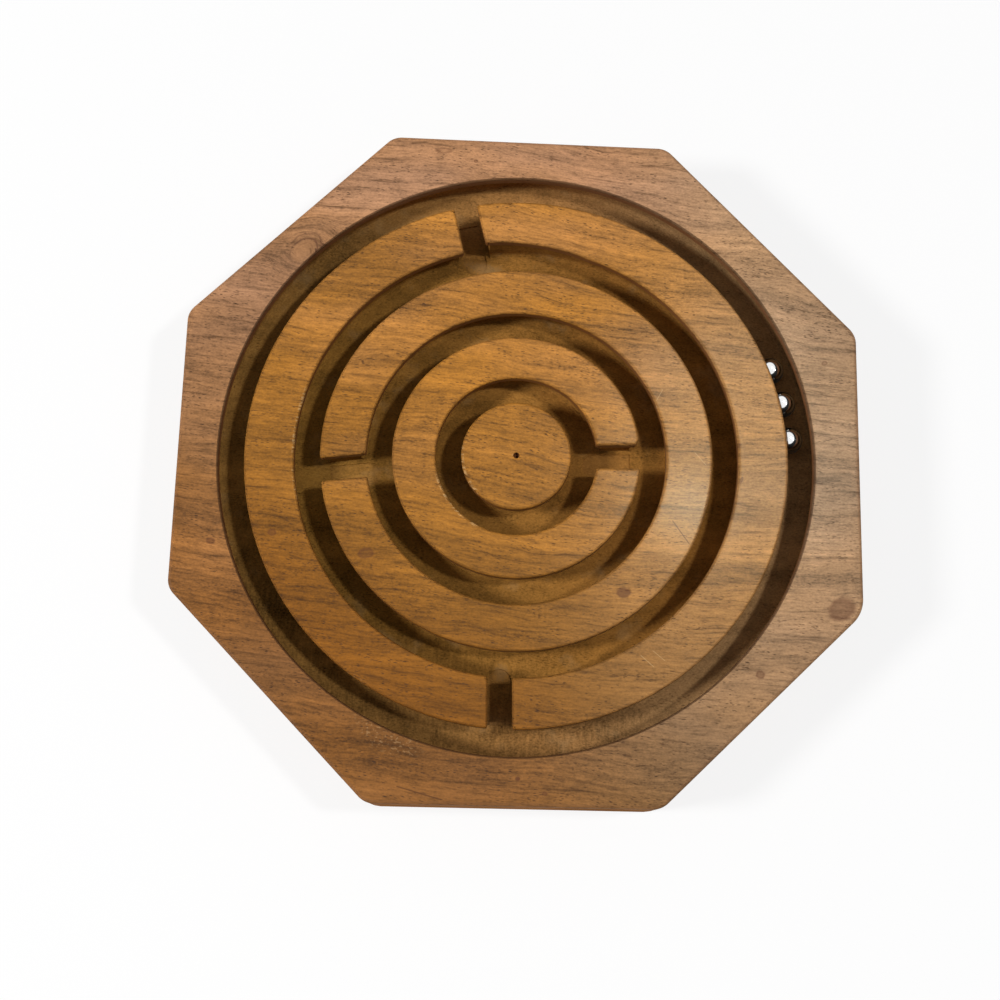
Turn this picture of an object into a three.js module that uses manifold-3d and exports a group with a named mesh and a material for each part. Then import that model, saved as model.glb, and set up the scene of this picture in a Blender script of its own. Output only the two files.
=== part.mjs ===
// A wooden labyrinth puzzle: an octagonal board with four ring grooves, a gate
// from each ring to the next, and three steel balls to be tilted to the middle.
// The board is two layers. The base holds wide channels, and the top layer is
// six islands of thin wood whose edges overhang the channels, so the slots
// between them are narrower than the balls and the balls stay inside.
// Millimetres, +Z up, origin at the middle of the underside.

import * as THREE from "three";
import { mergeVertices } from "three/addons/utils/BufferGeometryUtils.js";
import Module from "manifold-3d";

const wasm = await Module();
wasm.setup();

// Board
const frameWidth = 9.85;
const boardCornerRadius = 4.6;
const boardEdgeRadius = 0.7;
const baseThickness = 18;
const topThickness = 2;

// Corners of the octagon, which was sawn by hand: the place of each from the
// middle of the board as shares of its width across flats, and its rounding
// as a share of the usual one, because some are worn more than others
const cornerShares = [
  [0.4978, 0.2055, 1.09],
  [0.2118, 0.4974, 1],
  [-0.2059, 0.5028, 1],
  [-0.5001, 0.2088, 1],
  [-0.4978, -0.2078, 1],
  [-0.1998, -0.5028, 1.09],
  [0.2132, -0.4985, 1.09],
  [0.5002, -0.2132, 1.63],
];

// Balls, with the room that the channels and the gates leave beside them, and
// how much narrower than a ball the slots and the gates are cut on top
const ballDiameter = 6;
const ballClearance = 0.2;
const channelPlay = 3;
const gatePlay = 1.2;
const slotHold = 0.3;
const gateHold = 0.7;

// Rings of the maze, from the middle outwards, about a centre that the maker
// set a little off the middle of the octagon
const mazeCentreX = -0.546;
const mazeCentreY = 0.412;
const discDiameter = 24.5;
const innerLandWidth = 9.7;
const middleLandWidth = 10.3;
const outerLandWidth = 11.1;
const channelCornerRadius = 1.2;

// Gates: each has the direction it runs in, in degrees from +X, and the
// distance by which its axis passes beside the centre of the rings
const gateTraceDepth = 0.4;
const topGate = { turn: 104, offset: -1.2 };
const bottomGate = { turn: 271.8, offset: -3.7 };
const leftGate = { turn: 187.8, offset: -1.3 };
const rightGate = { turn: 1.9, offset: -0.3 };

// Islands of the top layer
const islandEdgeRadius = 0.35;
const islandCornerRadius = 0.6;

// Centre mark of the circle cutter
const pivotDiameter = 1.3;
const pivotDepth = 1.5;

// Where the balls stand at rest, in degrees from +X about the ring centre
const upperBallTurn = 21.9;
const middleBallTurn = 14.2;
const lowerBallTurn = 6.3;

// Fineness of the facets, and how far a cutter runs past what it cuts
const curveSag = 0.05;
const edgeSteps = 2;
const cornerSteps = 3;
const ballSteps = 24;
const overrun = 1;
const weld = 0.0001;

const channelWidth = ballDiameter + channelPlay;
const gateChannelWidth = ballDiameter + gatePlay;
const slotWidth = ballDiameter - slotHold;
const gateWidth = ballDiameter - gateHold;
const innermostRadius = discDiameter / 2 + slotWidth / 2;
const innerRadius = innermostRadius + slotWidth + innerLandWidth;
const outerRadius = innerRadius + slotWidth + middleLandWidth;
const outermostRadius = outerRadius + slotWidth + outerLandWidth;
const boardAcrossFlats = 2 * (outermostRadius + slotWidth / 2 + frameWidth);
const boardThickness = baseThickness + topThickness;
const boardReach = boardAcrossFlats;
const channelDepth = ballDiameter + 2 * ballClearance;
const channelFloor = baseThickness - channelDepth;
const ringRadii = [innermostRadius, innerRadius, outerRadius, outermostRadius];
const fullTurn = 2 * Math.PI;
const radians = THREE.MathUtils.degToRad;

const varnishedWood = { color: 0xa9713f, roughness: 0.42, metalness: 0 };
const redderWood = { color: 0x9c6a45, roughness: 0.42, metalness: 0 };
const rawWood = { color: 0x6f5b36, roughness: 0.85, metalness: 0 };
const polishedSteel = { color: 0xd4d6d8, roughness: 0.08, metalness: 1 };

// Number of facets that keeps a circle within the sag
function stepsAround(radius) {
  const halfStep = Math.acos(1 - curveSag / radius);
  return 4 * Math.ceil(Math.PI / halfStep / 4);
}

// Points of an arc, both ends included
function arcPoints(x, y, radius, from, to, steps) {
  const points = [];
  for (let i = 0; i <= steps; i++) {
    const turn = from + ((to - from) * i) / steps;
    points.push(
      new THREE.Vector2(
        x + radius * Math.cos(turn),
        y + radius * Math.sin(turn),
      ),
    );
  }
  return points;
}

// Arc about the ring centre, with as many steps as its length asks for
function ringArc(radius, from, to) {
  const share = Math.abs(to - from) / fullTurn;
  const steps = Math.max(2, Math.round(stepsAround(radius) * share));
  return arcPoints(0, 0, radius, from, to, steps);
}

// Polygon with each corner replaced by an arc that is tangent to both sides
function roundedPolygon(corners, radii) {
  const points = [];
  corners.forEach((corner, i) => {
    const before = corners[(i + corners.length - 1) % corners.length];
    const after = corners[(i + 1) % corners.length];
    points.push(...filletPoints(before, corner, after, radii[i]));
  });
  return points;
}

// Arc that rounds the corner between two neighbouring points
function filletPoints(before, corner, after, radius) {
  const toBefore = before.clone().sub(corner).normalize();
  const toAfter = after.clone().sub(corner).normalize();
  const half = Math.acos(toBefore.dot(toAfter)) / 2;
  const middle = toBefore.clone().add(toAfter).normalize();
  const centre = corner.clone().addScaledVector(middle, radius / Math.sin(half));
  const start = corner.clone().addScaledVector(toBefore, radius / Math.tan(half));
  const end = corner.clone().addScaledVector(toAfter, radius / Math.tan(half));
  const from = Math.atan2(start.y - centre.y, start.x - centre.x);
  const swing = Math.atan2(end.y - centre.y, end.x - centre.x) - from;
  const nearest = swing - fullTurn * Math.round(swing / fullTurn);
  return arcPoints(centre.x, centre.y, radius, from, from + nearest, cornerSteps);
}

// Solid of a closed three.js geometry
function solid(geometry) {
  const bare = new THREE.BufferGeometry();
  const flat = geometry.index ? geometry.toNonIndexed() : geometry;
  bare.setAttribute("position", flat.getAttribute("position"));
  const merged = mergeVertices(bare, weld);
  const corners = merged.index.array;
  const kept = [];
  for (let i = 0; i < corners.length; i += 3) {
    const [a, b, c] = corners.subarray(i, i + 3);
    if (a !== b && b !== c && c !== a) kept.push(a, b, c);
  }
  const mesh = new wasm.Mesh({
    numProp: 3,
    vertProperties: new Float32Array(merged.attributes.position.array),
    triVerts: new Uint32Array(kept),
  });
  return new wasm.Manifold(mesh);
}

// three.js geometry of a solid
function geometryOf(body) {
  const mesh = body.getMesh();
  const geometry = new THREE.BufferGeometry();
  const positions = new THREE.BufferAttribute(mesh.vertProperties, 3);
  geometry.setAttribute("position", positions);
  geometry.setIndex(new THREE.BufferAttribute(mesh.triVerts, 1));
  const facets = geometry.toNonIndexed();
  facets.computeVertexNormals();
  return facets;
}

// Straight prism on an outline, from one height to another
function prism(outline, bottom, top) {
  const shape = new THREE.Shape(outline);
  const geometry = new THREE.ExtrudeGeometry(shape, {
    depth: top - bottom,
    bevelEnabled: false,
  });
  geometry.translate(0, 0, bottom);
  return solid(geometry);
}

// Prism whose upper and lower edges are rounded within its outline
function easedPrism(shape, bottom, top, radius) {
  const geometry = new THREE.ExtrudeGeometry(shape, {
    depth: top - bottom - 2 * radius,
    bevelEnabled: true,
    bevelThickness: radius,
    bevelSize: radius,
    bevelOffset: -radius,
    bevelSegments: edgeSteps,
  });
  geometry.translate(0, 0, bottom + radius);
  return solid(geometry);
}

// Solid turned about the ring centre from a profile of radius and height
function turned(profile, radius) {
  const geometry = new THREE.LatheGeometry(profile, stepsAround(radius));
  geometry.rotateX(Math.PI / 2);
  return solid(geometry);
}

// Everything between two heights, to trim a piece to its layer
function layer(bottom, top) {
  const reach = boardReach;
  const corners = [
    new THREE.Vector2(-reach, -reach),
    new THREE.Vector2(reach, -reach),
    new THREE.Vector2(reach, reach),
    new THREE.Vector2(-reach, reach),
  ];
  return prism(corners, bottom, top);
}

// Octagon with rounded corners, seen from the ring centre
function octagonOutline() {
  const corners = cornerShares.map(
    ([x, y]) =>
      new THREE.Vector2(
        x * boardAcrossFlats - mazeCentreX,
        y * boardAcrossFlats - mazeCentreY,
      ),
  );
  const radii = cornerShares.map(([, , share]) => share * boardCornerRadius);
  return roundedPolygon(corners, radii);
}

// Turn at which one wall of a gate meets a circle about the ring centre
function gateWallTurn(gate, radius, side) {
  const beside = gate.offset + (side * gateWidth) / 2;
  return radians(gate.turn) + Math.asin(beside / radius);
}

// Point at a turn and a radius about the ring centre
function polar(radius, turn) {
  return new THREE.Vector2(radius * Math.cos(turn), radius * Math.sin(turn));
}

// Sector of a ring that runs counter-clockwise from one gate to another
function sectorOutline(insideRadius, outsideRadius, fromGate, toGate) {
  const outerStart = gateWallTurn(fromGate, outsideRadius, 1);
  const innerStart = gateWallTurn(fromGate, insideRadius, 1);
  const sweepTo = (turn, start) =>
    turn + fullTurn * Math.ceil((start - turn) / fullTurn);
  const outerEnd = sweepTo(gateWallTurn(toGate, outsideRadius, -1), outerStart);
  const innerEnd = sweepTo(gateWallTurn(toGate, insideRadius, -1), innerStart);
  const outer = ringArc(outsideRadius, outerStart, outerEnd);
  const inner = ringArc(insideRadius, innerEnd, innerStart);
  return roundedEnds(outer, inner);
}

// Outline of two arcs joined by straight gate walls, with its corners rounded
function roundedEnds(outer, inner) {
  const radius = islandCornerRadius;
  const last = outer.length - 1;
  const end = inner.length - 1;
  return [
    ...filletPoints(inner[end], outer[0], outer[1], radius),
    ...outer.slice(1, last),
    ...filletPoints(outer[last - 1], outer[last], inner[0], radius),
    ...filletPoints(outer[last], inner[0], inner[1], radius),
    ...inner.slice(1, end),
    ...filletPoints(inner[end - 1], inner[end], outer[0], radius),
  ];
}

// Stadium along a gate, between two distances from the ring centre
function gateOutline(gate, width, from, to) {
  const half = width / 2;
  const along = radians(gate.turn);
  const quarter = Math.PI / 2;
  const steps = 2 * cornerSteps;
  const points = [
    ...arcPoints(from + half, gate.offset, half, quarter, 3 * quarter, steps),
    ...arcPoints(to - half, gate.offset, half, -quarter, quarter, steps),
  ];
  return points.map((point) => point.rotateAround(new THREE.Vector2(), along));
}

// Outline of the trace that a gate's cutter left: round where it was let down
// in the inner ring, square where it ran out at the wall of the outer ring
function traceOutline(gate, from, to) {
  const half = gateWidth / 2;
  const along = radians(gate.turn);
  const quarter = Math.PI / 2;
  const steps = 2 * cornerSteps;
  const points = [
    ...arcPoints(from + half, gate.offset, half, quarter, 3 * quarter, steps),
    new THREE.Vector2(to, gate.offset - half),
    new THREE.Vector2(to, gate.offset + half),
  ];
  return points.map((point) => point.rotateAround(new THREE.Vector2(), along));
}

// Channel of one ring in the base, with its floor's corners rounded
function ringChannel(radius) {
  const inside = radius - channelWidth / 2;
  const outside = radius + channelWidth / 2;
  const corner = channelCornerRadius;
  const height = channelFloor + corner;
  const top = baseThickness + overrun;
  const quarter = Math.PI / 2;
  const profile = [
    new THREE.Vector2(inside, top),
    ...arcPoints(inside + corner, height, corner, 2 * quarter, 3 * quarter, cornerSteps),
    ...arcPoints(outside - corner, height, corner, -quarter, 0, cornerSteps),
    new THREE.Vector2(outside, top),
    new THREE.Vector2(inside, top),
  ];
  return turned(profile, outside);
}

// Way for a ball between two neighbouring channels, and the shallow trace that
// the gate's own cutter left in their floors
function gateChannel(gate, fromRadius, toRadius) {
  const half = gateChannelWidth / 2;
  const way = gateOutline(gate, gateChannelWidth, fromRadius - half, toRadius + half);
  const trace = traceOutline(gate, fromRadius, toRadius - channelWidth / 2);
  const top = baseThickness + overrun;
  return prism(way, channelFloor, top).add(
    prism(trace, channelFloor - gateTraceDepth, top),
  );
}

// Octagonal blank of both layers, before anything is cut in it
function boardBlank() {
  const shape = new THREE.Shape(octagonOutline());
  return easedPrism(shape, 0, boardThickness, boardEdgeRadius);
}

function baseBoard() {
  let body = boardBlank().intersect(layer(-overrun, baseThickness));
  for (const radius of ringRadii) {
    body = body.subtract(ringChannel(radius));
  }
  const gates = [
    [rightGate, innermostRadius, innerRadius],
    [leftGate, innerRadius, outerRadius],
    [topGate, outerRadius, outermostRadius],
    [bottomGate, outerRadius, outermostRadius],
  ];
  for (const [gate, from, to] of gates) {
    body = body.subtract(gateChannel(gate, from, to));
  }
  return body;
}

// One island of the top layer, with only its upper edges rounded
function island(shape) {
  const below = baseThickness - islandEdgeRadius;
  return easedPrism(shape, below, boardThickness, islandEdgeRadius).intersect(
    layer(baseThickness, boardThickness + overrun),
  );
}

function outerFrame() {
  const opening = outermostRadius + slotWidth / 2;
  const easedTop = boardThickness - islandEdgeRadius;
  const edge = arcPoints(
    opening + islandEdgeRadius,
    easedTop,
    islandEdgeRadius,
    Math.PI,
    Math.PI / 2,
    edgeSteps,
  );
  const profile = [
    new THREE.Vector2(0, baseThickness - overrun),
    new THREE.Vector2(opening, baseThickness - overrun),
    ...edge,
    new THREE.Vector2(opening + islandEdgeRadius, boardThickness + overrun),
    new THREE.Vector2(0, boardThickness + overrun),
  ];
  return boardBlank()
    .intersect(layer(baseThickness, boardThickness + overrun))
    .subtract(turned(profile, opening));
}

// Island between two ring grooves, from one gate round to another
function ringIsland(insideRing, outsideRing, fromGate, toGate) {
  const inside = insideRing + slotWidth / 2;
  const outside = outsideRing - slotWidth / 2;
  const outline = sectorOutline(inside, outside, fromGate, toGate);
  return island(new THREE.Shape(outline));
}

// Middle disc, with the conical mark of the cutter's pivot
function centreDisc() {
  const radius = innermostRadius - slotWidth / 2;
  const steps = stepsAround(radius);
  const outline = arcPoints(0, 0, radius, 0, fullTurn, steps).slice(0, steps);
  const tip = boardThickness - pivotDepth;
  const mark = [
    new THREE.Vector2(0, tip),
    new THREE.Vector2(pivotDiameter / 2, tip + pivotDiameter / 2),
    new THREE.Vector2(pivotDiameter / 2, boardThickness + overrun),
    new THREE.Vector2(0, boardThickness + overrun),
  ];
  return island(new THREE.Shape(outline)).subtract(turned(mark, pivotDiameter));
}

// Named mesh of a solid
function piece(name, body, look) {
  const material = new THREE.MeshStandardMaterial(look);
  const mesh = new THREE.Mesh(geometryOf(body), material);
  mesh.name = name;
  return mesh;
}

// Ball against the inner wall of the outermost channel, just off its floor
function ball(name, turn) {
  const radius = ballDiameter / 2;
  const innerWall = outermostRadius - channelWidth / 2;
  const path = innerWall + radius + ballClearance;
  const geometry = new THREE.SphereGeometry(radius, ballSteps, (2 * ballSteps) / 3);
  const mesh = new THREE.Mesh(
    geometry.rotateX(Math.PI / 2),
    new THREE.MeshStandardMaterial(polishedSteel),
  );
  const place = polar(path, radians(turn));
  mesh.position.set(place.x, place.y, channelFloor + radius + ballClearance);
  mesh.name = name;
  return mesh;
}

const maze = new THREE.Group();
maze.name = "maze";
maze.position.set(mazeCentreX, mazeCentreY, 0);
maze.add(
  piece("base_board", baseBoard(), rawWood),
  piece("outer_frame", outerFrame(), redderWood),
  piece(
    "outer_ring_left",
    ringIsland(outerRadius, outermostRadius, topGate, bottomGate),
    varnishedWood,
  ),
  piece(
    "outer_ring_right",
    ringIsland(outerRadius, outermostRadius, bottomGate, topGate),
    varnishedWood,
  ),
  piece(
    "middle_ring",
    ringIsland(innerRadius, outerRadius, leftGate, leftGate),
    varnishedWood,
  ),
  piece(
    "inner_ring",
    ringIsland(innermostRadius, innerRadius, rightGate, rightGate),
    varnishedWood,
  ),
  piece("centre_disc", centreDisc(), varnishedWood),
  ball("ball_upper", upperBallTurn),
  ball("ball_middle", middleBallTurn),
  ball("ball_lower", lowerBallTurn),
);

const puzzle = new THREE.Group();
puzzle.name = "wooden_labyrinth_puzzle";
puzzle.add(maze);

export default puzzle;
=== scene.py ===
import math

import bmesh
import bpy
import numpy as np
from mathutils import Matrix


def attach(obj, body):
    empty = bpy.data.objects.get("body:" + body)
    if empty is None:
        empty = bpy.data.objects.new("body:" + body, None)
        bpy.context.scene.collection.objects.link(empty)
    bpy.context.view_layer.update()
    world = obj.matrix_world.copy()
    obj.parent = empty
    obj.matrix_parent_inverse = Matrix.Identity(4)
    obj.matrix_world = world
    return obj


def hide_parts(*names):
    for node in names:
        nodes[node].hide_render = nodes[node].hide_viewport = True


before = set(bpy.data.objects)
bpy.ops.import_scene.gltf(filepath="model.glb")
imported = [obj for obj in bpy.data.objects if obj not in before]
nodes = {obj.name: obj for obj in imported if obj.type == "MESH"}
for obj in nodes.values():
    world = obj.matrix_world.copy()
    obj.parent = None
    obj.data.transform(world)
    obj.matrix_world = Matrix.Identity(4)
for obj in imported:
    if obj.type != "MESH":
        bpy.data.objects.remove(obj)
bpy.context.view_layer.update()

# Outer frame of the top layer: an octagon of hardwood, 2 mm thick, with a round
# opening, glued to the base. Its outer edge is rounded by hand with sandpaper,
# the opening's edge is left crisp, and the top is varnished to a satin finish.

mm = 0.001
maze_centre = np.array([-0.546, 0.412])
board_thickness = 20.0
land_thickness = 2.0
land_underside = board_thickness - land_thickness
across_flats = 152.0
corner_radius = 4.6
# The octagon was sawn by hand: the place of each corner as shares of the width
# across flats, and its rounding as a share of the usual one.
corner_shares = np.array(
    [
        [0.4978, 0.2055, 1.09],
        [0.2118, 0.4974, 1],
        [-0.2059, 0.5028, 1],
        [-0.5001, 0.2088, 1],
        [-0.4978, -0.2078, 1],
        [-0.1998, -0.5028, 1.09],
        [0.2132, -0.4985, 1.09],
        [0.5002, -0.2132, 1.63],
    ]
)
outer_edge_radius = 0.7
slot_width = 5.7
ring_radii = [15.1, 30.5, 46.5, 63.3]
arris_radius = 0.35
quarter_turn = [0, 22.5, 45, 67.5, 90]


def weave(rows, columns, close_rows, close_columns):
    """Corner numbers of the quads of a grid: each quad joins a point to its
    neighbours in the next row and the next column, round the seam where the
    grid is closed that way."""
    row = np.arange(rows if close_rows else rows - 1)[:, None]
    column = np.arange(columns if close_columns else columns - 1)[None, :]
    next_row = (row + 1) % rows
    next_column = (column + 1) % columns
    corners = [
        row * columns + column,
        row * columns + next_column,
        next_row * columns + next_column,
        next_row * columns + column,
    ]
    return np.stack(corners, -1).reshape(-1, 4)


def skin(name, points, close_rows=False, close_columns=True, rim=None, crease=50):
    """Closed mesh of a grid of points in millimetres, of shape (rows, columns,
    3). Points that fall together, at seams and poles, become one. The faces
    are turned outwards by the sign of the enclosed volume. Rim says for each
    point how near an edge it is, for the finish, and crease is the angle in
    degrees above which two faces meet in a sharp edge."""
    rows, columns = points.shape[:2]
    quads = weave(rows, columns, close_rows, close_columns)
    flat = points.reshape(-1, 3) * mm
    a, b, c, d = (flat[quads[:, i]] for i in range(4))
    volume = np.sum(a * np.cross(b, c)) + np.sum(a * np.cross(c, d))
    if volume < 0:
        quads = quads[:, ::-1]
    mesh = bpy.data.meshes.new(name)
    mesh.from_pydata(flat, [], quads)
    if rim is not None:
        layer = mesh.attributes.new("rim", "FLOAT", "POINT")
        layer.data.foreach_set("value", rim.ravel().astype(np.float32))
    welded = bmesh.new()
    welded.from_mesh(mesh)
    bmesh.ops.remove_doubles(welded, verts=welded.verts, dist=0.002 * mm)
    bmesh.ops.dissolve_degenerate(welded, edges=welded.edges, dist=0.001 * mm)
    welded.to_mesh(mesh)
    welded.free()
    mesh.shade_smooth()
    mesh.set_sharp_from_angle(angle=math.radians(crease))
    piece = bpy.data.objects.new(name, mesh)
    bpy.context.scene.collection.objects.link(piece)
    return piece


def uneven(x, y, wavelength, seed):
    """Smooth irregular value between about -1 and 1 over the board: the sum
    of sine waves that run in many directions at wavelengths round the given
    one, over half their number."""
    dice = np.random.default_rng(seed)
    waves = 9
    total = np.zeros(np.shape(x))
    for _ in range(waves):
        turn = dice.uniform(0, 2 * np.pi)
        stride = wavelength * dice.uniform(0.6, 1.7)
        along = x * np.cos(turn) + y * np.sin(turn)
        total = total + np.sin(2 * np.pi * along / stride + dice.uniform(0, 6.3))
    return total / (waves / 2)


def octagon(turns):
    """Octagon with rounded corners as seen from the middle of the board. At
    each turn a ray meets the nearest of the eight sides, at the side's
    distance over the cosine of the turn from its normal. Between the two
    points where a corner's circle touches its sides the ray meets the circle
    instead. Returns x and y."""
    corners = corner_shares[:, :2] * across_flats
    radii = corner_shares[:, 2] * corner_radius
    ray = np.stack([np.cos(turns), np.sin(turns)], -1)
    after = np.roll(corners, -1, 0) - corners
    after /= np.linalg.norm(after, axis=1, keepdims=True)
    before = -np.roll(after, 1, 0)
    normal = np.stack([after[:, 1], -after[:, 0]], -1)
    distance = np.sum(corners * normal, 1)
    facing = ray @ normal.T
    least, far = 0.3, 1e9
    to_sides = distance / np.maximum(facing, least)
    reach = np.where(facing > least, to_sides, far).min(1)
    half = np.arccos(np.sum(after * before, 1)) / 2
    inwards = after + before
    inwards /= np.linalg.norm(inwards, axis=1, keepdims=True)
    centre = corners + inwards * (radii / np.sin(half))[:, None]
    along = ray @ centre.T
    within = along**2 - np.sum(centre**2, 1) + radii**2
    circle = along + np.sqrt(np.maximum(within, 0))
    touch = (radii / np.tan(half))[:, None]
    first, last = corners + before * touch, corners + after * touch
    past_first = first[:, 0] * ray[:, 1:] - first[:, 1] * ray[:, :1] > 0
    before_last = ray[:, :1] * last[:, 1] - ray[:, 1:] * last[:, 0] > 0
    rounded = past_first & before_last & (along > 0)
    for corner in range(len(corners)):
        reach = np.where(rounded[:, corner], circle[:, corner], reach)
    return ray * reach[:, None]


def frame_turns():
    """Turns round the board: one every third of a degree, and many more near
    the octagon's corners."""
    even = np.arange(1080) * 2 * np.pi / 1080
    near = np.linspace(-0.05, 0.05, 61)
    corners = np.arctan2(corner_shares[:, 1], corner_shares[:, 0])
    close = (corners[:, None] + near[None, :]).ravel() % (2 * np.pi)
    return np.unique(np.round(np.concatenate([even, close]), 6))


def edge_wear(x, y):
    """How far the arris of a groove has crumbled, in millimetres: fine
    unevenness everywhere, and a little more where two waves meet."""
    fine = uneven(x, y, wavelength=0.9, seed=11)
    slow = uneven(x, y, wavelength=8.0, seed=12)
    return 0.010 * fine + 0.09 * np.clip(fine * slow - 0.15, 0, 1)


def rounded_edge(radius, angles):
    """Inset and height of points on the quarter circle that rounds an edge of
    the top, at angles in degrees from the wall (0) up to the top (90)."""
    return [
        (
            radius * (1 - math.cos(angle)),
            board_thickness - radius * (1 - math.sin(angle)),
        )
        for angle in np.radians(angles)
    ]


def frame_surface():
    """The frame's section, carried round the board. From row to row it goes
    up the wall of the opening, over its arris, across the top as shares of
    the way from the opening to the octagon, down over the rounded outer edge
    and back below. Each point is on the straight line between the point of
    the opening and the point of the octagon at the same turn. Rim is 1 on the
    arris of the opening and -1 on the outer edge and side."""
    turns = frame_turns()
    outer = octagon(turns)
    opening_radius = ring_radii[-1] + slot_width / 2
    ray = np.stack([np.cos(turns), np.sin(turns)], -1)
    wear = edge_wear(opening_radius * ray[:, 0], opening_radius * ray[:, 1])
    outwards = outer / np.linalg.norm(outer, axis=1, keepdims=True)
    full = np.ones(len(turns))
    rows, rims = [], []

    def opening_row(inset, height, worn, rim):
        radius = opening_radius + inset + np.clip(wear, 0, None) * worn
        place = radius[:, None] * ray + maze_centre
        rows.append(np.column_stack([place, height * full]))
        rims.append(rim * full)

    def outer_row(inset, height, rim):
        rows.append(np.column_stack([outer - inset * outwards, height * full]))
        rims.append(rim * full)

    wall = [(land_underside, 0, 0.5), (19.2, 0.2, 0.5), (19.5, 0.6, 0.8)]
    for height, worn, rim in wall:
        opening_row(0, height, worn, rim)
    for inset, height in rounded_edge(arris_radius, quarter_turn):
        opening_row(inset, height, 1, 1)
    opening_row(0.45, board_thickness, 1, 0.7)
    opening_row(0.75, board_thickness, 0.3, 0)
    start = rows[-1][:, :2]
    flat_inset = 1.5
    end = outer - flat_inset * outwards
    for share in [0.1, 0.25, 0.4, 0.55, 0.7, 0.85]:
        place = start + share * (end - start)
        rows.append(np.column_stack([place, board_thickness * full]))
        rims.append(0 * full)
    outer_row(flat_inset, board_thickness, 0)
    outer_row(0.8, board_thickness, -0.5)
    for inset, height in rounded_edge(outer_edge_radius, [90, 72, 54, 36, 18, 0]):
        outer_row(inset, height, -1)
    outer_row(0, 18.6, -1)
    outer_row(0, land_underside, -1)
    outer_row(4.0, land_underside, 0)
    return np.stack(rows), np.stack(rims)


class Wire:
    """An output of a shader node. Sums, products and comparisons of wires and
    numbers add the Math nodes that work them out."""

    def __init__(self, bench, socket):
        self.bench = bench
        self.socket = socket

    def math(self, operation, *others):
        return self.bench.add(
            "ShaderNodeMath",
            {"operation": operation},
            dict(enumerate((self, *others))),
        )

    def __add__(self, other):
        return self.math("ADD", other)

    def __sub__(self, other):
        return self.math("SUBTRACT", other)

    def __rsub__(self, other):
        return self.bench.add(
            "ShaderNodeMath", {"operation": "SUBTRACT"}, {0: other, 1: self}
        )

    def __mul__(self, other):
        return self.math("MULTIPLY", other)

    def __truediv__(self, other):
        return self.math("DIVIDE", other)

    def __abs__(self):
        return self.math("ABSOLUTE")

    __radd__ = __add__
    __rmul__ = __mul__

    def root(self):
        return self.math("SQRT")

    def above(self, other):
        return self.math("MAXIMUM", other)

    def below(self, other):
        return self.math("MINIMUM", other)

    def ramp(self, low, high):
        """0 below low, 1 above high and a smooth step between; turned round
        where low is the greater."""
        settings = {"interpolation_type": "SMOOTHSTEP"}
        if low < high:
            sockets = {"Value": self, "From Min": low, "From Max": high}
            return self.bench.add("ShaderNodeMapRange", settings, sockets)
        sockets = {"Value": self, "From Min": high, "From Max": low}
        return 1 - self.bench.add("ShaderNodeMapRange", settings, sockets)


class Bench:
    """The node tree of one finish, and the tools to fill it."""

    def __init__(self, name):
        self.material = bpy.data.materials.new(name)
        self.material.use_nodes = True
        self.tree = self.material.node_tree
        self.shader = self.tree.nodes["Principled BSDF"]
        self.place = None
        self.flat = None

    def add(self, kind, settings=None, sockets=None, output=0):
        """A node of that kind: its settings first, then the value or link of
        each socket. Returns one of its outputs."""
        node = self.tree.nodes.new(kind)
        for name, value in (settings or {}).items():
            setattr(node, name, value)
        for key, value in (sockets or {}).items():
            self.feed(node.inputs[key], value)
        return Wire(self, node.outputs[output])

    def feed(self, socket, value):
        """Links a wire to a socket, or sets its value."""
        if isinstance(value, Wire):
            self.tree.links.new(value.socket, socket)
        elif isinstance(value, tuple) and len(value) == 3 and socket.type == "RGBA":
            socket.default_value = (*value, 1)
        else:
            socket.default_value = value

    def position(self):
        """x, y and z of the surface in the board's frame, in millimetres."""
        if self.place is None:
            spot = self.add("ShaderNodeTexCoord", output="Object")
            scaled = self.tone(spot, 1.0 / mm)
            self.place = [
                self.add("ShaderNodeSeparateXYZ", None, {0: scaled}, axis)
                for axis in range(3)
            ]
        return self.place

    def vector(self, x, y, z):
        """One vector of three numbers or wires."""
        return self.add("ShaderNodeCombineXYZ", None, {0: x, 1: y, 2: z})

    def seen_from(self, x, y, turn, length=1.0, width=1.0):
        """Place on the board as seen from a point and at a turn, as shares of
        a length and a width."""
        if self.flat is None:
            across, up, _ = self.position()
            self.flat = self.vector(across, up, 0.0)
        sockets = {
            "Vector": self.flat,
            "Location": (x, y, 0.0),
            "Rotation": (0.0, 0.0, turn),
            "Scale": (length, width, 1.0),
        }
        return self.add("ShaderNodeMapping", {"vector_type": "TEXTURE"}, sockets)

    def cloud(self, x, y, z, detail=2.0, roughness=0.5, twist=0.0):
        """Noise from 0 to 1 that changes over about one unit of x, y and z."""
        sockets = {
            "Vector": self.vector(x, y, z),
            "Scale": 1.0,
            "Detail": detail,
            "Roughness": roughness,
            "Distortion": twist,
        }
        return self.add("ShaderNodeTexNoise", None, sockets)

    def stain(self, colour, other, share, mode="MIX"):
        """The first colour, changed towards the second by the share."""
        settings = {"data_type": "RGBA", "blend_type": mode}
        return self.add(
            "ShaderNodeMix", settings, {0: share, 6: colour, 7: other}, 2
        )

    def tone(self, colour, factor):
        """The colour or vector times the factor."""
        sockets = {0: colour, "Scale": factor}
        return self.add("ShaderNodeVectorMath", {"operation": "SCALE"}, sockets)

    def finish(self, colour, roughness, height, depth, gloss):
        """Puts the colour, the roughness and the relief on the shader."""
        self.feed(self.shader.inputs["Base Color"], colour)
        self.feed(self.shader.inputs["Roughness"], roughness)
        self.shader.inputs["Specular IOR Level"].default_value = gloss
        relief = self.add(
            "ShaderNodeBump",
            None,
            {"Strength": 1.0, "Distance": depth * mm, "Height": height},
        )
        self.feed(self.shader.inputs["Normal"], relief)
        return self.material


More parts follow.
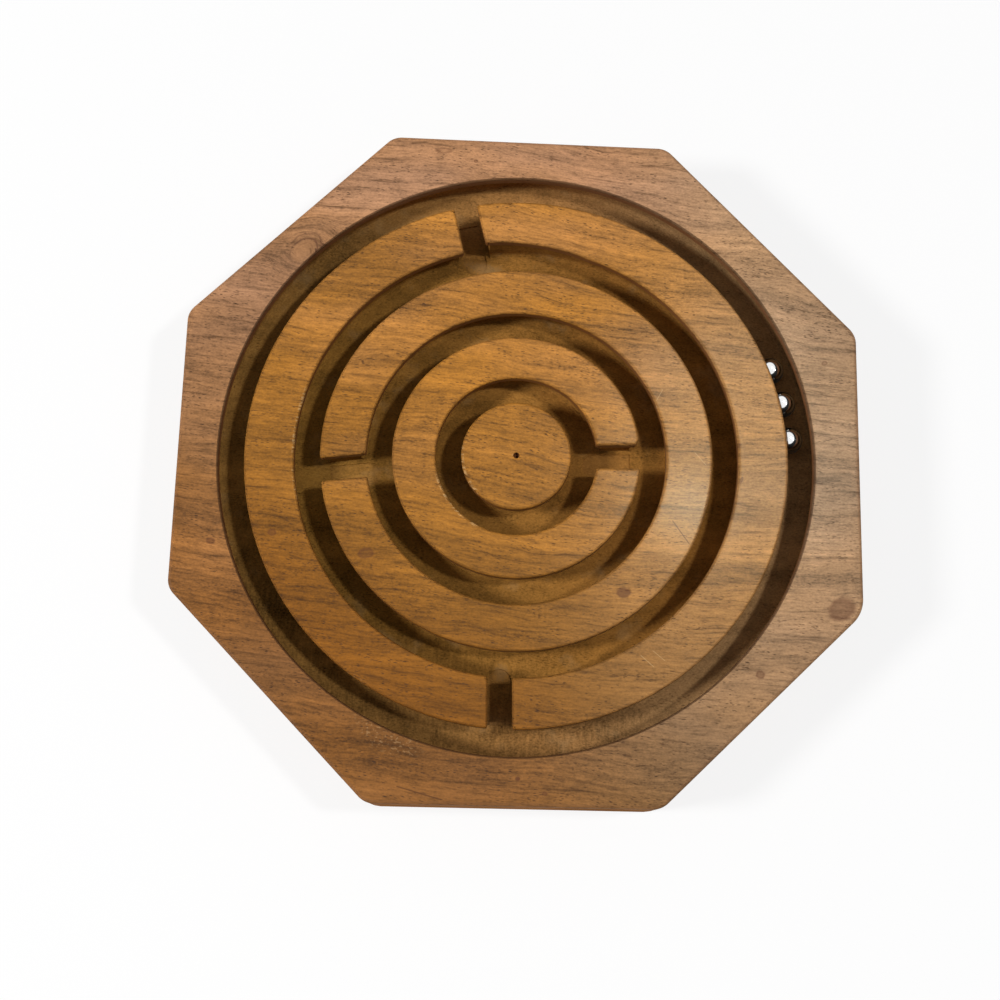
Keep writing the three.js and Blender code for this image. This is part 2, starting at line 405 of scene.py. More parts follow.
# Marks of the plank: middle and half-sizes in millimetres of the swirl and of
# the small dark knots, the turn of their long axis in degrees, and how much of
# a knot's stain its heart goes without.
swirl = (-50.6, 47.3, 3.6, 2.4, 50)
small_knots = [
    (71.2, -31.7, 2.9, 2.3, 30, 0.14),
    (-32.8, -22.7, 1.6, 1.2, 10, 0.25),
    (-66.9, -21.1, 1.0, 0.7, 0, 0.15),
    (-53.6, -18.8, 0.9, 0.7, 0, 0.20),
    (23.7, -29.7, 1.5, 1.1, 0, 0.06),
    (53.4, -46.6, 0.9, 0.8, 0, 0.15),
    (36.5, -49.1, 0.7, 0.6, 0, 0.10),
    (68.3, 24.1, 0.7, 0.5, 20, 0.20),
    (1.8, -70.3, 0.5, 0.4, 0, 0),
    (7.6, -73.2, 0.6, 0.4, 0, 0.20),
    (48.7, 4.3, 0.9, 0.4, 20, 0.15),
    (49.5, -3.5, 0.7, 0.3, 70, 0.15),
    (-12.0, 70.8, 0.5, 0.4, 0, 0.15),
    (-19.5, 73.2, 1.9, 0.7, 0, 0.35),
]
# Places where the plank is lighter or darker: middle, half-sizes, turn and
# change of tone.
plank_patches = [
    (-14.0, 5.0, 16.0, 8.0, 0, 0.12),
    (-28.0, 16.0, 11.0, 5.0, -10, -0.16),
    (-20.0, 34.0, 9.0, 4.0, 10, 0.15),
    (-62.0, 32.0, 11.0, 7.0, 0, -0.20),
    (-68.0, -29.0, 11.0, 13.0, 20, 0.42),
    (-20.0, -29.0, 12.0, 6.0, -8, 0.25),
    (-37.0, 44.0, 16.0, 10.0, 20, -0.14),
    (32.0, 41.0, 10.0, 5.0, -8, 0.15),
    (-42.0, -60.0, 10.0, 8.0, -30, 0.20),
    (72.0, -3.0, 9.0, 4.0, 0, -0.15),
    (72.0, 31.0, 9.0, 4.0, 0, -0.12),
    (72.0, 5.0, 9.0, 45.0, 0, -0.08),
    (0.0, -68.0, 45.0, 8.0, 0, 0.20),
    (5.0, -40.0, 32.0, 14.0, 0, -0.10),
    (-14.0, 0.0, 16.0, 11.0, 0, 0.09),
    (2.0, -53.0, 26.0, 6.0, 0, -0.10),
    (46.0, 50.0, 10.0, 9.0, 0, 0.09),
    (69.0, -26.0, 11.0, 17.0, 0, 0.09),
    (55.0, -55.0, 12.0, 9.0, 0, 0.08),
    (29.0, -32.0, 8.0, 8.0, 0, 0.10),
]
# Scratches, each from one point to another, with half its width.
dark_scratches = [
    (34.1, -13.1, 38.1, -18.6, 0.18),
    (-24.0, -72.6, -14.0, -75.2, 0.20),
    (46.5, 5.2, 48.4, 4.0, 0.16),
]
pale_scratches = [
    (27.4, -43.1, 30.6, -45.8, 0.14),
    (30.0, -42.0, 33.0, -44.4, 0.12),
    (39.0, 2.5, 41.8, -0.6, 0.12),
    (30.3, 13.8, 32.0, 17.0, 0.12),
    (26.5, 15.0, 31.2, 12.4, 0.10),
]
# Scuffed places, where small pale flecks have come off, the stretches of the
# edges where the cutter tore the fibres, and the place where the varnish has
# crackled: middle, half-sizes and turn.
scuffs = [(-38.0, -49.8, 7.0, 1.7, -12), (-26.0, -61.5, 8.5, 4.5, -25)]
torn_left = (-50.2, 1.0, 5.0, 17.0, 0)
torn_middle = (-11.5, -7.0, 7.5, 10.0, 0)
crackled_place = (44.0, -26.0, 18.0, 24.0, 0)
# Colours of the varnished wood at the left and at the right of the board, the
# right ones greyed partly by painted sheen, of its marks, and of its edges.
golden_wood = [(0.378, 0.154, 0.021), (0.385, 0.186, 0.056)]
pink_wood = [(0.360, 0.186, 0.098), (0.368, 0.222, 0.122)]
# amber of the painted shade towards the lower left
shade_amber = (1.0, 0.88, 0.62)
streak_brown = (0.07, 0.026, 0.006)
fibre_brown = (0.09, 0.034, 0.010)
pore_brown = (0.040, 0.016, 0.006)
knot_brown = (0.11, 0.036, 0.014)
swirl_heart = (0.52, 0.25, 0.10)
swirl_line = (0.11, 0.042, 0.022)
scratch_brown = (0.08, 0.030, 0.010)
torn_fibre = (0.62, 0.40, 0.18)
scuff_fleck = (0.50, 0.30, 0.13)
burnt_edge = (0.045, 0.018, 0.006)
lip_brown = (0.17, 0.062, 0.020)
dark_outer_edge = (0.20, 0.100, 0.052)


def oval(bench, mark):
    """Distance from a mark's middle as a share of its half-sizes."""
    mid_x, mid_y, long_half, short_half, turn = mark[:5]
    place = bench.seen_from(mid_x, mid_y, math.radians(turn), long_half, short_half)
    return bench.add("ShaderNodeVectorMath", {"operation": "LENGTH"}, {0: place}, 1)


def plank(bench):
    """The wood of the whole board as one plank: its fibres run along X and
    dip a little to the right, fan out at the right edge and part round the
    swirl. Returns the coordinate across the layers, slow bands, streaks,
    fibres and pores, each 0 to 1."""
    x, y, z = bench.position()
    drift = bench.cloud(x * 0.012 + 3.0, y * 0.022, z * 0.03, 1.5) - 0.5
    ripple = bench.cloud(x * 0.07, y * 0.16, z * 0.08, 2.0) - 0.5
    right = (x - 35.0).above(0.0)
    fan = right * right * y * 0.00005
    parted = oval(bench, swirl).ramp(3.2, 0.4) * (y - swirl[1])
    layer = y + x * 0.10 + z * 0.35 + drift * 12 + ripple * 2.2 + fan - parted * 0.8
    bands = bench.cloud(x * 0.008, layer * 0.13 + 2.0, z * 0.02, 2.0, 0.55)
    streaks = bench.cloud(x * 0.055, layer * 0.9, z * 0.1, 5.0, 0.70)
    fibres = bench.cloud(x * 0.42, layer * 1.9, z * 3.0, 3.0, 0.65)
    crowd = bench.cloud(x * 0.05, layer * 0.30, z * 0.1, 2.0)
    pores = dashes(bench, (x * 0.75, layer * 4.0, z * 3.0), crowd, 0.32)
    longer = dashes(bench, (x * 0.38 + 5, layer * 2.6, z * 2.0), crowd, 0.24)
    return layer, bands, streaks, fibres, pores.above(longer)


def dashes(bench, place, crowd, size):
    """Pores cut lengthwise: dark dashes, one in each cell of a stretched cell
    pattern where the cell's own dice are below the crowding of the pores."""
    cells = bench.add(
        "ShaderNodeTexVoronoi",
        {"feature": "F1"},
        {"Vector": bench.vector(*place), "Scale": 1.0, "Randomness": 1.0},
    )
    cell_colour = Wire(bench, cells.socket.node.outputs[1])
    dice = bench.add("ShaderNodeSeparateColor", None, {0: cell_colour})
    chosen = (crowd * 2.4 - 0.95 - dice * 0.9).ramp(-0.03, 0.10)
    return cells.ramp(size, size * 0.55) * chosen


def eye(bench, x, y, colour):
    """The swirl: a pinkish heart, and dark outlines that fade on the lower
    left side."""
    reach = oval(bench, swirl)
    waver = (bench.cloud(x * 0.35, y * 0.35, 4.0, 2.0) - 0.5) * 0.5
    reach = reach + waver
    colour = bench.stain(colour, swirl_heart, reach.ramp(1.1, 0.6) * 0.30)
    fade = ((x - swirl[0]) + (y - swirl[1])).ramp(-4.0, 2.0) * 0.65 + 0.25
    for place, depth in [(1.0, 0.75), (1.38, 0.45), (0.62, 0.25)]:
        ring = abs(reach - place).ramp(0.10, 0.02) * fade * depth
        colour = bench.stain(colour, swirl_line, ring)
    return colour


def scratch(bench, mark):
    """Share of a thin straight mark between two points: near the line, and
    between its ends."""
    from_x, from_y, to_x, to_y, width = mark
    length = math.hypot(to_x - from_x, to_y - from_y)
    turn = math.atan2(to_y - from_y, to_x - from_x)
    place = bench.seen_from(from_x, from_y, turn)
    along = bench.add("ShaderNodeSeparateXYZ", None, {0: place}, 0)
    beside = abs(bench.add("ShaderNodeSeparateXYZ", None, {0: place}, 1))
    between = along.ramp(0.0, 0.4) * along.ramp(length, length - 0.4)
    return beside.ramp(width, width * 0.4) * between


def varnished_wood(name, pinkness, browning):
    """Golden brown hardwood under a satin varnish. The frame's wood is more
    pink, the islands' more golden. Groove edges are browned by the cutter and
    splintered pale where it crossed the fibres; the outer edge is darkened.
    Painted shade darkens the wood, deepens it to amber and makes it less pink
    towards the lower left, and painted sheen partly greys it towards the right."""
    bench = Bench(name)
    x, y, z = bench.position()
    layer, bands, streaks, fibres, pores = plank(bench)
    blush = bench.cloud(x * 0.02 + 7.0, y * 0.05, z * 0.05, 2.0)
    # painted shade: darker and less pink towards the lower left
    painted_shade = (y * 0.95 + x * 0.30).ramp(30.0, -75.0)
    share = blush * 0.9 + (pinkness - 0.45) - painted_shade * 0.35
    share = share.below(1.0).above(0.0)
    # partly painted sheen: the wood takes its greyer colours towards the right
    right = (x - y * 0.15).ramp(2.0, 48.0)
    golden = bench.stain(*golden_wood, right)
    pink = bench.stain(*pink_wood, right)
    colour = bench.stain(golden, pink, share)
    # painted shade: deeper amber towards the lower left
    lower_left_shade = (y * 0.8 + x * 0.5).ramp(-25.0, -60.0)
    colour = bench.stain(colour, shade_amber, lower_left_shade, "MULTIPLY")
    mottle = bench.cloud(x * 0.22, y * 0.45, z * 0.3, 3.0, 0.7)
    speck = bench.cloud(x * 1.7, y * 2.4, z * 2.0, 2.0, 0.6)
    tone = 1.0 + (bands - 0.5) * 1.5 + (mottle - 0.5) * 0.8
    tone = tone + (streaks - 0.5) * 1.7 + (fibres - 0.5) * 1.0 + (speck - 0.5) * 0.9
    # painted shade darkens the tone towards the lower left
    tone = tone * (1 - painted_shade * 0.48)
    for patch in plank_patches:
        tone = tone * (oval(bench, patch).ramp(1.5, 0.2) * patch[5] + 1.0)
    colour = bench.tone(colour, tone)
    colour = bench.stain(colour, streak_brown, streaks.ramp(0.46, 0.27) * 0.62)
    colour = bench.stain(colour, fibre_brown, fibres.ramp(0.44, 0.25) * 0.55)
    colour = bench.stain(colour, pore_brown, pores * 0.88)
    colour = eye(bench, x, y, colour)
    for mark in small_knots:
        reach = oval(bench, mark) + (mottle - 0.5) * 0.8
        heart = mark[5]
        spot = reach.ramp(1.3, 0.8) * (0.8 - heart) - reach.ramp(0.9, 0.4) * heart
        colour = bench.stain(colour, knot_brown, spot)
    for mark in dark_scratches:
        colour = bench.stain(colour, scratch_brown, scratch(bench, mark) * 0.7)
    for mark in pale_scratches:
        colour = bench.stain(colour, torn_fibre, scratch(bench, mark) * 0.35)
    for mark in scuffs:
        flecks = bench.cloud(x * 1.1, y * 1.6, z * 0.3 + 3.0, 2.0, 0.6)
        flecks = flecks.ramp(0.56, 0.64) * oval(bench, mark).ramp(1.2, 0.5)
        colour = bench.stain(colour, scuff_fleck, flecks * 0.35)
    rim = bench.add("ShaderNodeAttribute", {"attribute_name": "rim"}, None, 2)
    low = z.ramp(19.62, 19.45)
    splinter = bench.cloud(x * 0.4, layer * 2.0, z * 1.0, 2.0, 0.6).ramp(0.47, 0.58)
    fringe = oval(bench, torn_left).ramp(1.0, 0.7)
    fringe = fringe.above(oval(bench, torn_middle).ramp(1.1, 0.8))
    ragged = bench.cloud(x * 0.25, y * 0.3, 7.0, 2.0, 0.7).ramp(0.40, 0.54)
    torn = splinter * fringe * ragged
    browned = (rim.ramp(0.6, 1.0) * (1 - low) * browning).above(rim.ramp(1.2, 1.6))
    colour = bench.stain(colour, burnt_edge, browned * (1.0 - torn))
    colour = bench.stain(colour, torn_fibre, rim.ramp(0.1, 0.7) * torn * 0.50)
    colour = bench.stain(colour, lip_brown, rim.ramp(0.2, 0.5) * low * 0.85)
    # darker colour on the rounded outer edge
    colour = bench.stain(colour, dark_outer_edge, rim.ramp(-0.3, -0.9) * 0.25)
    crackled = oval(bench, crackled_place).ramp(1.2, 0.6)
    relief = fibres * 0.6 + streaks * 0.5 - pores * 1.2
    relief = relief + speck * (crackled * 3.3 + 0.2)
    roughness = 0.19 + pores * 0.25 + fibres * 0.06 + abs(rim) * 0.40
    coat = (1.0 - abs(rim).below(1.0)) * 0.12
    bench.feed(bench.shader.inputs["Coat Weight"], coat)
    bench.shader.inputs["Coat Roughness"].default_value = 0.11
    return bench.finish(colour, roughness, relief, depth=0.014, gloss=0.10)


surface, rim = frame_surface()
outer_frame = skin("frame_of_board", surface, close_rows=True, rim=rim)
frame_varnish = varnished_wood("frame_varnish", pinkness=0.85, browning=0.75)
outer_frame.data.materials.append(frame_varnish)
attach(outer_frame, "board")
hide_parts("outer_frame")

# Islands of the top layer: the lands that the four slots and the four gates
# leave. Each is the same 2 mm hardwood, sawn from one plank with the frame so
# that the grain runs on from one to the next, and glued to the base.

gate_width = 5.3
# Turn of each gate in degrees, and how far it lies beside the centre.
top_gate = (104.0, -1.2)
bottom_gate = (271.8, -3.7)
left_gate = (187.8, -1.3)
right_gate = (1.9, -0.3)
island_corner = 0.6
# The stray cut in the right outer land deepens between two turns in degrees, and
# the chip at the right gate has a middle and a reach.
stray_turns = (72, 101)
stray_depth = 1.7
chip_middle = (27.3, 3.0)
chip_reach = 1.9
chip_depth = 1.1


def gate_wall(gate, radius, side):
    """Turn at which a wall of a gate meets a circle: the gate's own turn plus
    the arc sine of the wall's distance beside the centre over the radius."""
    turn, offset = gate
    return math.radians(turn) + np.arcsin((offset + side * gate_width / 2) / radius)


def bar_loop(half_length, half_width, inset, along, ends):
    """Closed loop of a rounded bar seen from above, at an inset from its
    outline: two long sides, two ends and four quarter circles. Along and ends
    are the shares at which the sides are sampled. Returns place along and
    place across."""
    length = half_length - inset
    width = half_width - inset
    corner = np.clip(island_corner - inset, 0, None)
    quarter = np.radians(np.linspace(90, 0, 9))
    back = quarter[::-1]
    run = length - corner
    rise = width - corner
    sides = [
        (run * along, width + 0 * along),
        (run + corner * np.cos(quarter), rise + corner * np.sin(quarter)),
        (length + 0 * ends, -rise * ends),
        (run + corner * np.sin(back), -rise - corner * np.cos(back)),
    ]
    place_along = np.concatenate([side[0] for side in sides])
    place_across = np.concatenate([side[1] for side in sides])
    return (
        np.concatenate([place_along, -place_along]),
        np.concatenate([place_across, -place_across]),
    )


def overcut(x, y, side):
    """How far the cutter strayed into a land, in millimetres: along the inner
    side of the right outer land, deepest at the top gate, and at a corner of
    the right gate that chipped off."""
    turn = np.degrees(np.arctan2(y, x))
    radius = np.hypot(x, y)
    beside_gate = (turn > 60) & (turn < 103) & (radius > 49) & (side < 0)
    deepening = (turn - stray_turns[0]) / (stray_turns[1] - stray_turns[0])
    stray = stray_depth * np.clip(deepening, 0, 1) * beside_gate
    from_chip = np.hypot(x - chip_middle[0], y - chip_middle[1])
    chip = chip_depth * np.clip(1 - from_chip / chip_reach, 0, 1) * (radius < 28)
    return stray + chip


def island_surface(inside, outside, from_gate, to_gate):
    """A rounded bar bent round the centre of the rings. Its loops go from the
    middle line of the top outwards, over the arris, down the walls and back
    to the middle line below. Place across gives the radius, and place along
    gives the turn, as a share of the way from one gate's wall to the other's
    at that radius, so both ends are straight and square to the gate."""
    middle = (inside + outside) / 2
    half_width = (outside - inside) / 2
    start = gate_wall(from_gate, middle, 1)
    sweep = (gate_wall(to_gate, middle, -1) - start) % (2 * np.pi)
    half_length = sweep * middle / 2
    along = np.linspace(-1, 1, int(half_length * 8))[1:-1]
    ends = np.linspace(-1, 1, 26)[1:-1]
    top = board_thickness
    outline = [(half_width, top, 0, 0), (half_width * 0.5, top, 0, 0)]
    outline += [(0.75, top, 0.3, 0), (0.45, top, 1, 0.7)]
    for inset, height in rounded_edge(arris_radius, quarter_turn[::-1]):
        outline.append((inset, height, 1, 1))
    outline += [(0, 19.4, 0.7, 0.8), (0, 19.1, 0.3, 0.5)]
    outline += [(0, land_underside, 0, 0.5), (half_width, land_underside, 0, 0)]
    rows, rims = [], []
    for inset, height, worn, rim in outline:
        place_along, place_across = bar_loop(
            half_length, half_width, inset, along, ends
        )
        radius = middle + place_across
        first = gate_wall(from_gate, radius, 1)
        last = first + (gate_wall(to_gate, radius, -1) - first) % (2 * np.pi)
        share = place_along / half_length / 2 + 0.5
        turn = first + (last - first) * share
        x, y = radius * np.cos(turn), radius * np.sin(turn)
        side = np.sign(np.round(place_across, 3))
        outwards = np.abs(place_across) / half_width
        stray = overcut(x, y, side) * outwards * (inset < half_width * 0.4)
        side = side * (np.clip(edge_wear(x, y), 0, None) * worn + stray)
        x = (radius - side) * np.cos(turn)
        y = (radius - side) * np.sin(turn)
        spot = np.column_stack([x, y]) + maze_centre
        rows.append(np.column_stack([spot, np.full(len(x), height)]))
        rims.append(np.full(len(x), rim))
    return np.stack(rows), np.stack(rims)


island_varnish = varnished_wood("island_varnish", pinkness=0.08, browning=0.25)
half_slot = slot_width / 2
islands = [
    ("inner_ring", 0, 1, right_gate, right_gate),
    ("middle_ring", 1, 2, left_gate, left_gate),
    ("outer_ring_left", 2, 3, top_gate, bottom_gate),
    ("outer_ring_right", 2, 3, bottom_gate, top_gate),
]
for name, inner, outer, from_gate, to_gate in islands:
    surface, rim = island_surface(
        ring_radii[inner] + half_slot,
        ring_radii[outer] - half_slot,
        from_gate,
        to_gate,
    )
    land = skin(name + "_land", surface, rim=rim)
    land.data.materials.append(island_varnish)
    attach(land, "board")
    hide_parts(name)

# Middle disc: the last land, a disc of the same hardwood glued to the base, with
# the small conical hole in which the circle cutter turned.

hole_radius = 0.65
hole_depth = 1.5
cone_top = 0.85


def disc_surface():
    """A section turned about the centre of the rings: from the tip of the
    hole up its cone, over the top, round the arris, down the wall and back
    to the axis below."""
    radius = ring_radii[0] - half_slot
    turns = np.arange(540) * 2 * np.pi / 540
    top = board_thickness
    section = [(0.0, top - hole_depth, 0, 2), (hole_radius, top - cone_top, 0, 2)]
    section += [(hole_radius, 19.95, 0, 2), (hole_radius + 0.08, top, 0, 0.6)]
    section += [(reach, top, 0, 0) for reach in (1.0, 4.0, 8.0, radius - 0.75)]
    section += [(radius - 0.45, top, 1, 0.7)]
    for inset, height in rounded_edge(arris_radius, quarter_turn[::-1]):
        section.append((radius - inset, height, 1, 1))
    section += [(radius, 19.4, 0.7, 0.8), (radius, 19.1, 0.3, 0.5)]
    section += [(radius, land_underside, 0, 0.5), (0.0, land_underside, 0, 0)]
    reach, height, worn, rim = np.array(section).T
    crumble = np.clip(
        edge_wear(radius * np.cos(turns), radius * np.sin(turns)), 0, None
    )
    spread = reach[:, None] - worn[:, None] * crumble[None, :]
    x = spread * np.cos(turns) + maze_centre[0]
    y = spread * np.sin(turns) + maze_centre[1]
    return np.stack([x, y, height[:, None] + 0 * x], -1), rim[:, None] + 0 * x


surface, rim = disc_surface()
disc = skin("middle_disc", surface, rim=rim)
disc.data.materials.append(island_varnish)
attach(disc, "board")
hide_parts("centre_disc")

# Base board: the thick octagon beneath, with the wide channels in which the
# balls roll, cut by a router. The channels are bare wood with the fine rings of
# the cutter, and the sides are oiled.

# Floors rubbed pale where the cutter was let down: middle, half-sizes, turn.
worn_floors = [(-2.4, -46.9, 1.7, 2.1, 0), (-9.0, 47.5, 5.2, 1.5, -12)]
golden_floor = (0.250, 0.112, 0.024)
grey_floor = [(0.285, 0.135, 0.042), (0.280, 0.160, 0.068)]
green_floor = (0.205, 0.118, 0.022)
bare_pore = (0.03, 0.014, 0.004)
wood_dust = (0.38, 0.25, 0.12)
rubbed_floor = (0.30, 0.18, 0.075)
rubbed_line = (0.05, 0.022, 0.006)
oiled_wood = [(0.38, 0.155, 0.036), (0.35, 0.175, 0.085)]
oiled_streak = (0.08, 0.030, 0.010)
channel_floor = 11.3
side_reach = 68.0


def raw_wood(name):
    """Bare hardwood of the same plank: golden and dusty in the inner
    channels, greyer in the outermost, speckled by the torn ends of fibres,
    ragged at the bottom where the cutter tore them and darkened there by
    painted shade, with fine rings where it went round. Outside the channels
    the wood is oiled, with a grain of its own along the sides."""
    bench = Bench(name)
    x, y, z = bench.position()
    _, bands, _, _, pores = plank(bench)
    from_x, from_y = x - maze_centre[0], y - maze_centre[1]
    radius = (from_x * from_x + from_y * from_y).root()
    outermost = radius.ramp(50.0, 60.0)
    grey = bench.stain(*grey_floor, x.ramp(0.0, 45.0))
    colour = bench.stain(golden_floor, grey, outermost)
    green = (x * 0.9 + y * 0.1).ramp(20.0, -60.0)
    colour = bench.stain(colour, green_floor, green * 0.50)
    speckle = bench.cloud(x * 1.9, y * 2.6, z * 2.0, 3.0, 0.7)
    mottle = bench.cloud(x * 0.2, y * 0.3, z * 0.3, 3.0, 0.6)
    tone = 1.07 + (bands - 0.5) * 1.3 + (speckle - 0.5) * 1.7
    tone = tone + (mottle - 0.5) * 1.2
    ragged = bench.cloud(x * 1.5, y * 0.22, z * 0.5, 3.0, 0.7)
    # partly painted shade: with the ragged streaks the floors darken on the whole
    # towards the bottom
    lower = (y + x * 0.3).ramp(-32.0, -50.0)
    tone = tone + (ragged - 0.62) * lower * 1.1
    colour = bench.tone(colour, tone)
    colour = bench.stain(colour, bare_pore, pores * 0.5)
    dust = bench.cloud(x * 0.12, y * 0.12, z * 0.2, 3.0, 0.6)
    colour = bench.stain(colour, wood_dust, dust.ramp(0.55, 0.75) * 0.25)
    for mark in worn_floors:
        reach = oval(bench, mark) + (speckle - 0.5) * 1.6
        colour = bench.stain(colour, rubbed_floor, reach.ramp(1.2, 0.4) * 0.4)
        line = abs(reach - 1.35).ramp(0.16, 0.04) * 0.3
        colour = bench.stain(colour, rubbed_line, line)
    beyond = radius.ramp(side_reach, side_reach + 1.0)
    outside = beyond.above(z.ramp(channel_floor, channel_floor - 0.5))
    grain = bench.cloud(x * 0.04, y * 0.35, z * 0.9, 4.0, 0.65)
    threads = bench.cloud(x * 0.4, y * 2.2, z * 4.5, 3.0, 0.65)
    oiled = bench.stain(*oiled_wood, mottle)
    tone = 0.95 + (grain - 0.5) * 1.8 + (threads - 0.5) * 0.9 + (bands - 0.5) * 0.8
    oiled = bench.tone(oiled, tone)
    oiled = bench.stain(oiled, oiled_streak, grain.ramp(0.42, 0.28) * 0.6)
    colour = bench.stain(colour, oiled, outside)
    turning = bench.cloud(radius * 3.0, x * 0.05, y * 0.05, 2.0, 0.7)
    relief = (speckle * 0.6 + turning * 0.5 - pores) * (1.0 - outside * 0.7)
    roughness = 0.75 + speckle * 0.1 - outside * 0.2
    return bench.finish(colour, roughness, relief, depth=0.04, gloss=0.0)


base = nodes["base_board"]
base.data.materials.clear()
base.data.materials.append(raw_wood("bare_channel_wood"))

# Balls: three bearing balls of hardened steel, 6 mm across, ground and polished
# to a mirror, laid in the channel before the islands were glued on.

ball_radius = 3.0
ball_path = 62.0
ball_height = 14.8
ball_turns = {"upper": 21.9, "middle": 14.2, "lower": 6.3}
steel = [(0.84, 0.84, 0.83), (0.72, 0.72, 0.71)]
painted_ball_shade = (0.16, 0.15, 0.14)


def ball_surface(turn):
    """Sphere: rows of latitude from pole to pole, columns of longitude."""
    latitude = np.linspace(-np.pi / 2, np.pi / 2, 65)[:, None]
    longitude = (np.arange(128) * 2 * np.pi / 128)[None, :]
    angle = math.radians(turn)
    x = ball_path * math.cos(angle) + maze_centre[0]
    y = ball_path * math.sin(angle) + maze_centre[1]
    ring = ball_radius * np.cos(latitude)
    return np.stack(
        [
            x + ring * np.cos(longitude),
            y + ring * np.sin(longitude),
            ball_height + ball_radius * np.sin(latitude) + 0 * longitude,
        ],
        -1,
    )


def polished_steel(name):
    """Mirror-bright steel, with faint hairline rolling marks and smudges. Below
    its top cap its colour is darkened as painted shade, and its lower part is
    dulled by dust from the channel."""
    bench = Bench(name)
    x, y, z = bench.position()
    smudge = bench.cloud(x * 0.5, y * 0.5, z * 0.5, 3.0)
    hairs = bench.cloud(x * 3.0, y * 9.0, z * 9.0, 3.0, 0.6)
    colour = bench.stain(*steel, smudge)
    # painted shade: the steel is darkened below its top cap
    colour = bench.stain(colour, painted_ball_shade, z.ramp(17.4, 16.9))
    bench.shader.inputs["Metallic"].default_value = 1.0
    dusty = z.ramp(16.8, 15.8)
    roughness = 0.05 + smudge * 0.05 + hairs.ramp(0.5, 0.8) * 0.06 + dusty * 0.35
    return bench.finish(colour, roughness, hairs, depth=0.002, gloss=0.5)


ball_polish = polished_steel("ball_steel_polish")
for which, turn in ball_turns.items():
    ball = skin("steel_ball_" + which, ball_surface(turn))
    ball.data.materials.append(ball_polish)
    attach(ball, which + "_ball")
    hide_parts("ball_" + which)

# Table and light: a white sheet under the board, a lamp from the right, a softer
# one from the left, two glow lamps nearly overhead that show in the gloss alone,
# and a white sky that the varnish and the steel mirror.


def table_surface():
    """Flat white sheet, as a grid of two by two points just under the board."""
    reach, gap = 2500.0, 0.05
    x, y = np.meshgrid([-reach, reach], [-reach, reach])
    return np.stack([x, y, 0 * x - gap], -1)


table = skin("table_sheet", table_surface(), close_columns=False)
paper = Bench("white_paper")
clouds = paper.cloud(*(wire * 0.002 for wire in paper.position()))
paper_white = paper.stain((0.86, 0.86, 0.86), (0.90, 0.90, 0.90), clouds)
paper.feed(paper.shader.inputs["Base Color"], paper_white)
paper.shader.inputs["Roughness"].default_value = 0.9
paper.shader.inputs["Specular IOR Level"].default_value = 0.0
seen = paper.add("ShaderNodeLightPath", output="Is Camera Ray")
shone = paper.add("ShaderNodeLightPath", output="Is Glossy Ray")
white_glow = {"Color": (1.0, 1.0, 1.0), "Strength": 1.0}
glow = paper.add("ShaderNodeEmission", None, white_glow)
sheet = Wire(paper, paper.shader.outputs[0])
mixed = paper.add(
    "ShaderNodeMixShader", None, {0: seen.above(shone) * 0.8, 1: sheet, 2: glow}
)
paper.feed(paper.tree.nodes["Material Output"].inputs["Surface"], mixed)
table.data.materials.append(paper.material)

world = bpy.data.worlds.new("studio")
bpy.context.scene.world = world
world.use_nodes = True
room = world.node_tree
for node in list(room.nodes):
    room.nodes.remove(node)


class Room(Bench):
    """The world's node tree, with the same tools as a finish."""

    def __init__(self, tree):
        self.tree = tree


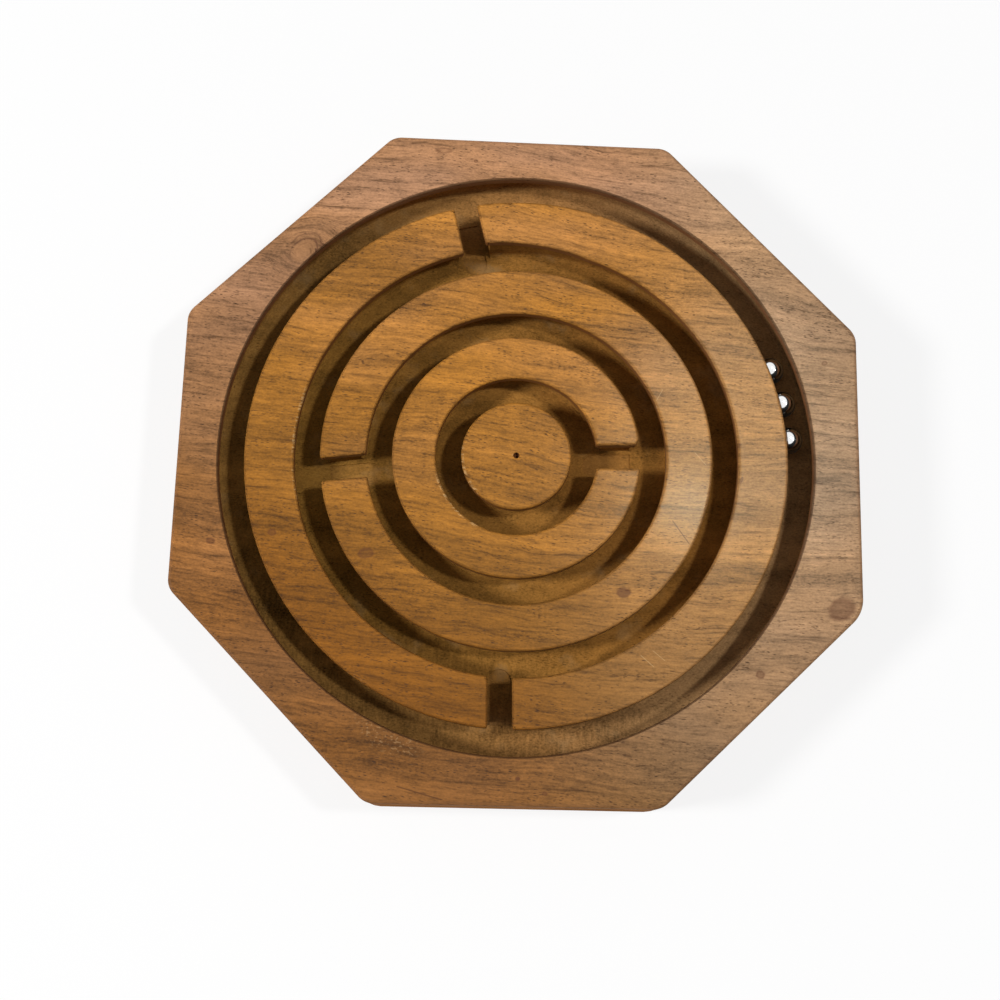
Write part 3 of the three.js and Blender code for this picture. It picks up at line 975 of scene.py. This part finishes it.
# The bright part of the sky, which only gloss shows: an oval, whose middle and
# half-sizes are shares of the way to the horizon, rightwards and backwards.
sky_middle = (-0.1, 0.13)
sky_reach = (0.7, 0.83)
sky_brightness = 1.1
ambient = 0.27
studio = Room(room)
way = studio.add("ShaderNodeTexCoord", output="Generated")
rightwards = studio.add("ShaderNodeSeparateXYZ", None, {0: way}, 0)
backwards = studio.add("ShaderNodeSeparateXYZ", None, {0: way}, 1)
side = (rightwards - sky_middle[0]) / sky_reach[0]
depth = (backwards - sky_middle[1]) / sky_reach[1]
oval_of_sky = side * side + depth * depth
lightness = oval_of_sky.ramp(1.0, 0.85) * sky_brightness
camera_ray = studio.add("ShaderNodeLightPath", output="Is Camera Ray")
glossy_ray = studio.add("ShaderNodeLightPath", output="Is Glossy Ray")
strength = ambient + (1 - ambient) * camera_ray
strength = strength * (1 - glossy_ray) + (0.02 + lightness) * glossy_ray
white = (1.0, 1.0, 1.0, 1.0)
sky = studio.add("ShaderNodeBackground", None, {0: white, 1: strength})
end = room.nodes.new("ShaderNodeOutputWorld")
room.links.new(sky.socket, end.inputs["Surface"])


lamp_distance = 1.5


def lamp(name, azimuth, elevation, diameter, share):
    """Round lamp that lights the board to a share of white: its power is the
    share times pi squared times the distance squared. Azimuth is counted from
    +X, and both angles are in degrees."""
    light = bpy.data.lights.new(name, "AREA")
    light.shape = "DISK"
    light.size = diameter
    light.energy = share * math.pi**2 * lamp_distance**2
    stand = bpy.data.objects.new(name, light)
    turn, rise = math.radians(azimuth), math.radians(elevation)
    direction = np.array(
        [
            math.cos(turn) * math.cos(rise),
            math.sin(turn) * math.cos(rise),
            math.sin(rise),
        ]
    )
    stand.location = lamp_distance * direction
    stand.rotation_euler = (math.pi / 2 - rise, 0, turn + math.pi / 2)
    bpy.context.scene.collection.objects.link(stand)
    return stand


lamp("right_lamp", azimuth=1, elevation=60, diameter=0.14, share=0.37)
lamp("left_lamp", azimuth=191, elevation=41.5, diameter=0.30, share=0.72)
sheen = lamp("sheen_lamp", azimuth=55, elevation=72.2, diameter=0.30, share=0.07)
glint = lamp("glint_lamp", azimuth=55.2, elevation=75.1, diameter=0.08, share=0.035)
for gloss_lamp in (sheen, glint):
    gloss_lamp.visible_diffuse = False
    gloss_lamp.data.color = (1.0, 0.95, 0.70)

camera = bpy.data.objects.new("camera", bpy.data.cameras.new("camera"))
camera.location = (-0.00353, -0.08541, 0.34707)
camera.rotation_euler = [math.radians(turn) for turn in (13.0, -0.36, 1.8)]
camera.data.lens = 54.78
camera.data.sensor_width = 36.0
camera.data.clip_start = 0.01
camera.data.clip_end = 20.0
bpy.context.scene.collection.objects.link(camera)
bpy.context.scene.camera = camera
bpy.context.scene.view_settings.view_transform = "Standard"
